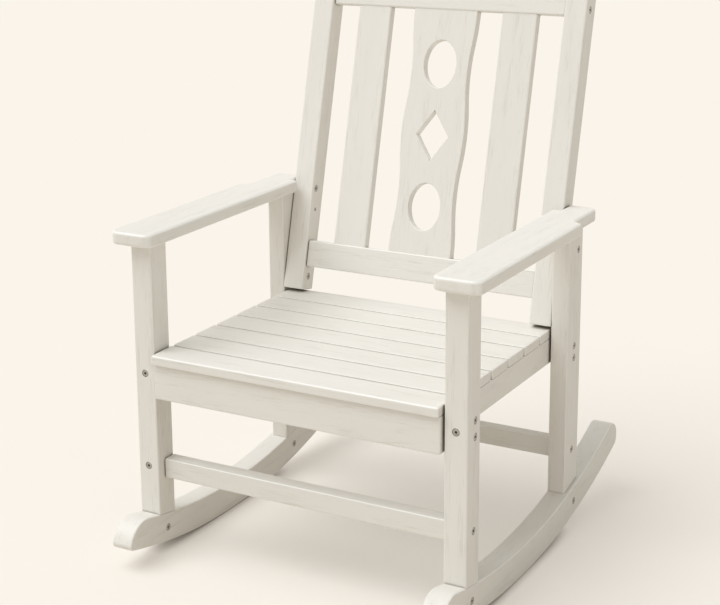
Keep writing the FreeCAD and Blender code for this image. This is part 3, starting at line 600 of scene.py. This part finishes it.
# A point on top of every fastener of a node, with the way its head faces and its size.
def headPoints(node, facing):
    points = bpy.data.meshes.new(f"{node}Points")
    tops, outwards, sizes = [], [], []
    for low, high in solidBoxes(node):
        middle = (low + high) / 2
        side = math.copysign(1, middle.x)
        outward = Vector({
            "out": (side, 0, 0),
            "in": (-side, 0, 0),
            "front": (0, -1, 0),
            "down": (0, 0, -1),
        }[facing])
        reach = (high - low) / 2
        width = max(reach[axis] for axis in range(3) if not outward[axis])
        tops.append(middle + outward * abs(reach.dot(outward)))
        outwards.append(outward)
        sizes.append(width / (headLook["cadRadius"] * mm))
    points.from_pydata(tops, [], [])
    points.attributes.new("outward", "FLOAT_VECTOR", "POINT").data.foreach_set(
        "vector", [part for outward in outwards for part in outward])
    points.attributes.new("headSize", "FLOAT", "POINT").data.foreach_set("value", sizes)
    return points


def turnFacesOut(mesh):
    work = bmesh.new()
    work.from_mesh(mesh)
    bmesh.ops.recalc_face_normals(work, faces=work.faces)
    work.to_mesh(mesh)
    work.free()


headTree = fastenerHeadsTree(headLook["sides"])
headSteel = turnedSteel("stainlessSteelHeads", onHeads=True)
headCount = 0
for node, facing in headFacing.items():
    points = headPoints(node, facing)
    headCount += len(points.vertices)
    heads = grow(camelCase(node), headTree, {
        "Head radius": headLook["radius"] * mm,
        "Head height": headLook["height"] * mm,
        "Rim": headLook["rim"] * mm,
        "Socket radius": headLook["socketRadius"] * mm,
        "Socket depth": headLook["socketDepth"] * mm,
        "Sunk": headLook["sunk"] * mm,
        "Seed": headLook["seed"],
        "Finish": headSteel,
    }, points)
    turnFacesOut(heads.data)
    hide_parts(node)
    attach(heads, "root")
print("fastener heads set:", headCount)


# The camera: height, turn, tilt and framing fitted to the chair's own edges.
cameraLook = {
    "place": (1.4104, -2.6483, 1.3529),
    "turn": 30.64,        # degrees to the left of straight back
    "down": 14.19,
    "roll": 0.83,
    "sensor": 36,         # mm
    "lens": 82.78,        # mm
    "shiftAcross": 0.0780,
    "shiftUp": -0.0998,
    "sees": 200,          # m
}
camera = bpy.data.objects.new("camera", bpy.data.cameras.new("camera"))
collection.objects.link(camera)
aim = Matrix.Rotation(math.radians(cameraLook["turn"]), 4, "Z")
aim = aim @ Matrix.Rotation(math.radians(90 - cameraLook["down"]), 4, "X")
aim = aim @ Matrix.Rotation(-math.radians(cameraLook["roll"]), 4, "Z")
camera.matrix_world = Matrix.Translation(cameraLook["place"]) @ aim
camera.data.sensor_width = cameraLook["sensor"]
camera.data.lens = cameraLook["lens"]
camera.data.shift_x = cameraLook["shiftAcross"]
camera.data.shift_y = cameraLook["shiftUp"]
camera.data.clip_end = cameraLook["sees"]
bpy.context.scene.camera = camera

# Light and surroundings: an even warm room, one very wide soft lamp high in front and to the
# left, and a paper sweep for a floor.
roomLook = {
    "room": (0.56, 0.547, 0.522),    # what lights the chair from all round
    "backdrop": "FBF6F0",            # what the camera and polished metal see
    "lampFrom": (-0.36, -0.35, 0.86),
    "lampPower": 1.93,
    "lampColour": (0.94, 0.965, 1.0),
    "lampSpread": 50,                # degrees
    "floor": "F5EEE4",
    "floorSeenByLight": "E0D9CE",
    "floorHalf": 40,                 # m
    "glow": "F8F4EE",
    "glowShare": 0.32,               # share of the floor's colour that no shadow darkens
    "contactShadow": "8A7F70",             # painted contact shadow where a rocker all but touches the floor
    "contactWidth": 24,              # mm
    "contactLimits": (0.85, 0.1),    # openness at which that painted shadow starts and is deepest
    "contactShare": 0.9,
}
lamp = bpy.data.objects.new("wideLamp", bpy.data.lights.new("wideLamp", "SUN"))
collection.objects.link(lamp)
lamp.data.energy = roomLook["lampPower"]
lamp.data.color = roomLook["lampColour"]
lamp.data.angle = math.radians(roomLook["lampSpread"])
lamp.rotation_euler = Vector(roomLook["lampFrom"]).to_track_quat("Z", "Y").to_euler()


# One for a ray that comes from the camera, a mirror or glass.
def seenDirectly(tree):
    ray = addNode(tree, "ShaderNodeLightPath").outputs
    shiny = maths(tree, "MAXIMUM", ray["Is Glossy Ray"], ray["Is Transmission Ray"])
    return maths(tree, "MAXIMUM", ray["Is Camera Ray"], shiny)


world = bpy.data.worlds.new("room")
world.use_nodes = True
world.node_tree.nodes.clear()
bpy.context.scene.world = world
room = mixed(world.node_tree, seenDirectly(world.node_tree),
             list(roomLook["room"]) + [1], linear(roomLook["backdrop"]))
sky = addNode(world.node_tree, "ShaderNodeBackground", {"Color": room, "Strength": 1})
addNode(world.node_tree, "ShaderNodeOutputWorld", {"Surface": sky.outputs[0]})


# Matte white paper: pale and plain, with the chair's soft shadow and a painted contact shadow, a
# dark line under each rocker.
def mattePaper():
    look = roomLook
    material, tree = newMaterial("mattePaper")
    direct = seenDirectly(tree)
    # painted contact shadow: the floor darker where a rocker is near it
    contactShadow = rising(tree, openness(tree, look["contactWidth"]), look["contactLimits"],
                     look["contactShare"])

    def withContactShadow(colour):
        return mixed(tree, contactShadow, colour, linear(look["contactShadow"]))

    colour = mixed(tree, direct, linear(look["floorSeenByLight"]), linear(look["floor"]))
    matte = addNode(tree, "ShaderNodeBsdfDiffuse", {"Color": withContactShadow(colour)})
    glow = addNode(tree, "ShaderNodeEmission",
                   {"Color": withContactShadow(linear(look["glow"])), "Strength": 1})
    share = maths(tree, "MULTIPLY", direct, look["glowShare"])
    finishMaterial(tree, addNode(tree, "ShaderNodeMixShader", {
        0: share, 1: matte.outputs[0], 2: glow.outputs[0]}))
    return material


floorMesh = bpy.data.meshes.new("floor")
half = roomLook["floorHalf"]
corners = [(-half, -half, 0), (half, -half, 0), (half, half, 0), (-half, half, 0)]
floorMesh.from_pydata(corners, [], [(0, 1, 2, 3)])
floorMesh.materials.append(mattePaper())
floor = bpy.data.objects.new("floor", floorMesh)
collection.objects.link(floor)

bpy.context.scene.view_settings.view_transform = "Standard"
print("camera, light and floor set")
